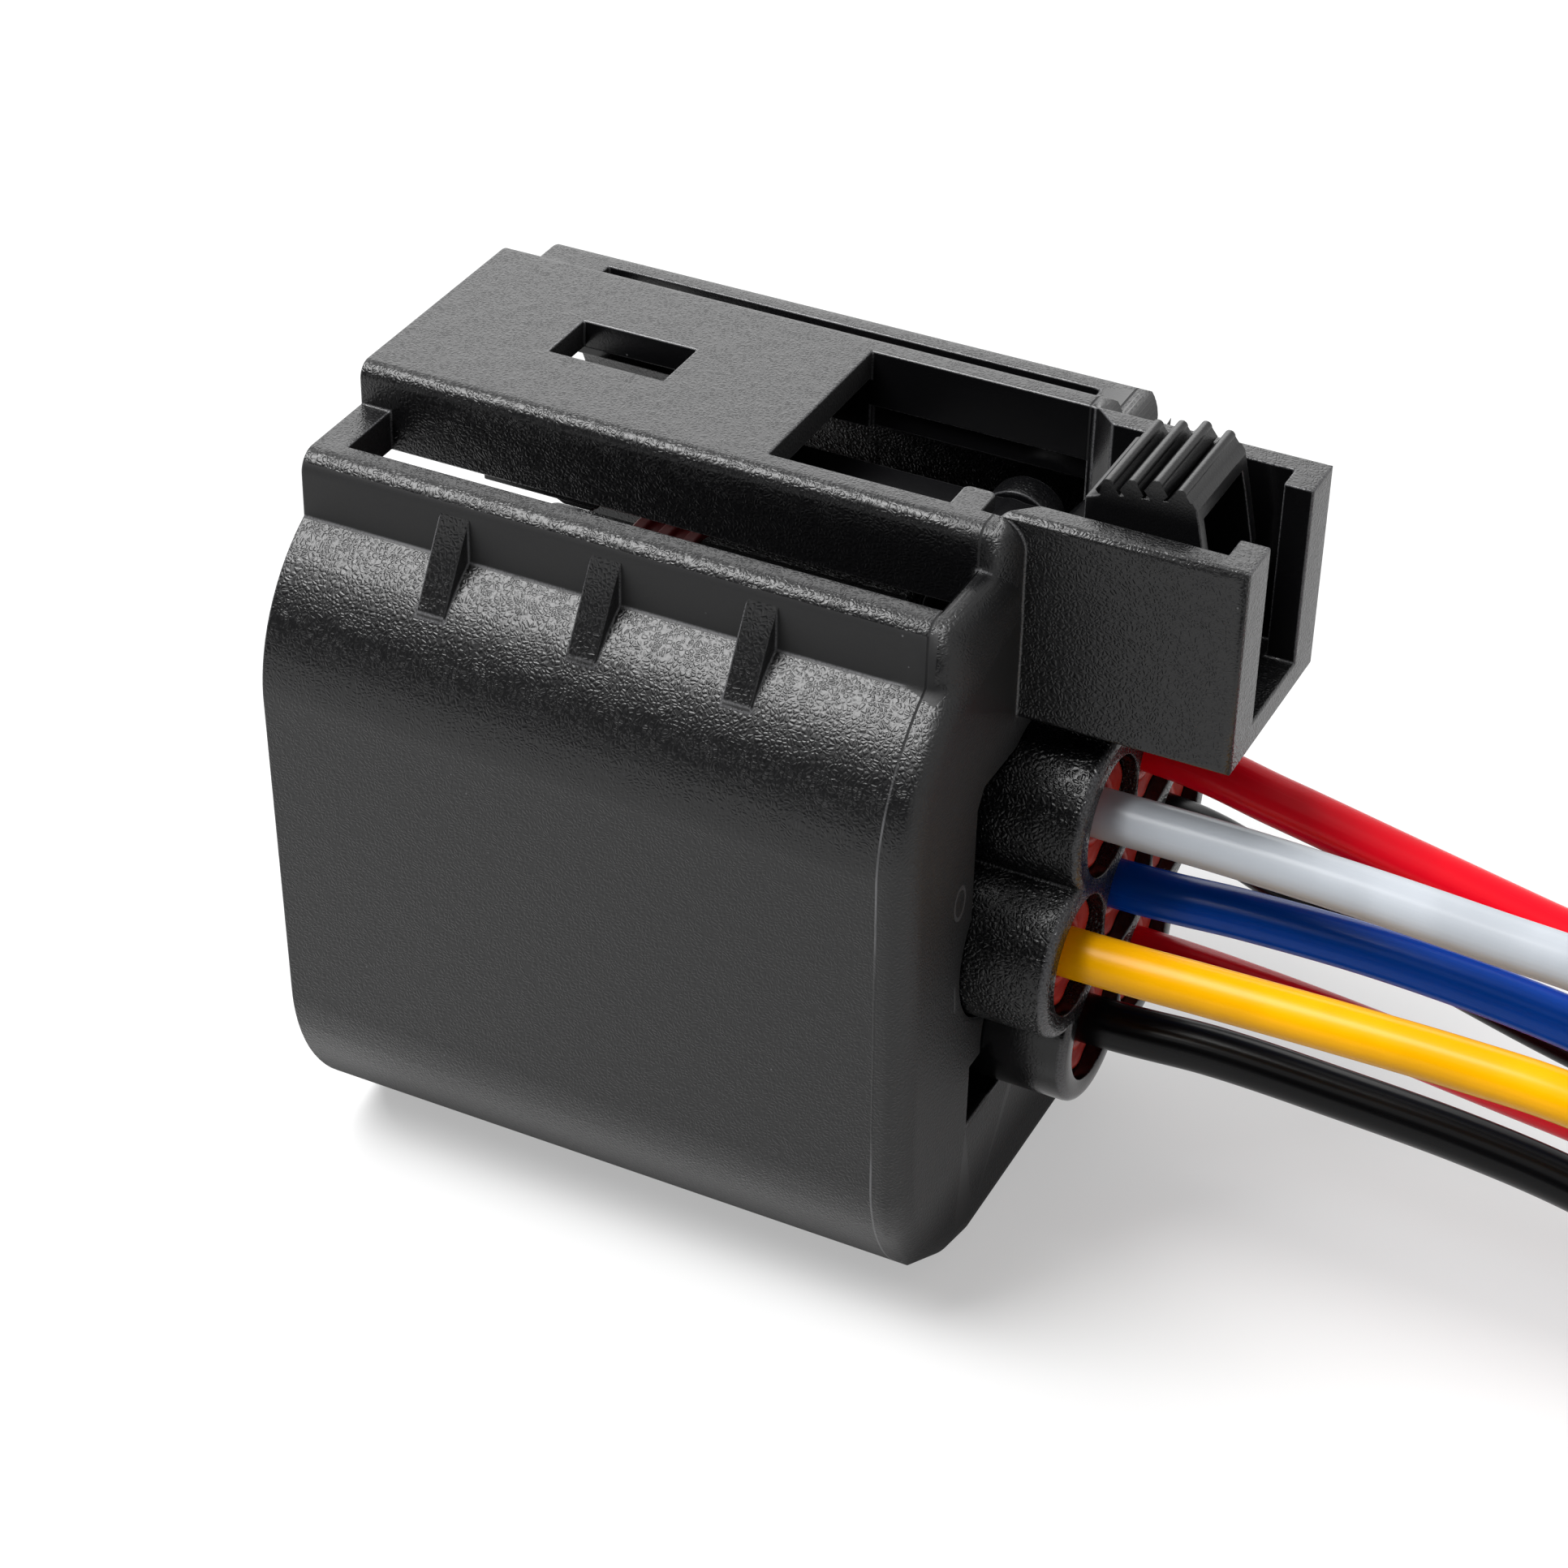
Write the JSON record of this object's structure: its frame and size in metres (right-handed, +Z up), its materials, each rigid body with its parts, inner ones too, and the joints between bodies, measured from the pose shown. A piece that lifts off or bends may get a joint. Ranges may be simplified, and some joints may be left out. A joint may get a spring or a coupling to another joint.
{
  "type": "wire to board connector housing",
  "caption": "Moulded connector hood with side rails and a guarded rocking latch, around a sealed terminal block whose short leads come out at the rear.",
  "frame": {"origin": "on the resting face, under the middle of the hood and its guard, leads left out", "axes": "+X from the mating end to the rear, where the leads come out, +Z up through the latch, Y across"},
  "size_m": [0.1405, 0.0384, 0.0499],
  "materials": {
    "hood_plastic": "near-black glass-filled plastic with a fine spark-eroded grain",
    "block_plastic": "near-black plastic with a coarser, glossier grain",
    "latch_plastic": "smooth semi-gloss near-black plastic",
    "retainer_plastic": "plain dark plastic",
    "ring_rubber": "dark red silicone rubber",
    "seal_rubber": "orange-red silicone rubber",
    "contact_brass": "tin-plated copper alloy",
    "lead_white": "soft vinyl insulation, pale grey-white",
    "lead_red": "soft vinyl insulation, red",
    "lead_yellow": "soft vinyl insulation, yellow",
    "lead_blue": "soft vinyl insulation, blue",
    "lead_black": "soft vinyl insulation, black"
  },
  "bodies": {
    "connector": {"housing": "hood_plastic", "terminal_block": "block_plastic", "front_retainer": "retainer_plastic", "interface_seal": "ring_rubber", "wire_seal_white": "seal_rubber", "wire_seal_red_upper": "seal_rubber", "wire_seal_yellow": "seal_rubber", "wire_seal_blue": "seal_rubber", "wire_seal_black_rear": "seal_rubber", "wire_seal_black_front": "seal_rubber", "wire_seal_red_lower": "seal_rubber", "terminal_white": "contact_brass", "terminal_red_upper": "contact_brass", "terminal_yellow": "contact_brass", "terminal_blue": "contact_brass", "terminal_black_rear": "contact_brass", "terminal_black_front": "contact_brass", "terminal_red_lower": "contact_brass", "lead_white": "lead_white", "lead_red_upper": "lead_red", "lead_yellow": "lead_yellow", "lead_blue": "lead_blue", "lead_black_rear": "lead_black", "lead_black_front": "lead_black", "lead_red_lower": "lead_red"},
    "latch": {"latch_lever": "latch_plastic"}
  },
  "joints": [
    {"name": "latch_press", "type": "hinge", "parent": "connector", "child": "latch", "pos_m": [0.0085, 0, 0.0404], "axis": [0, 1, 0], "range_deg": [0, 7], "stiffness_Nm_per_rad": 0.02}
  ]
}
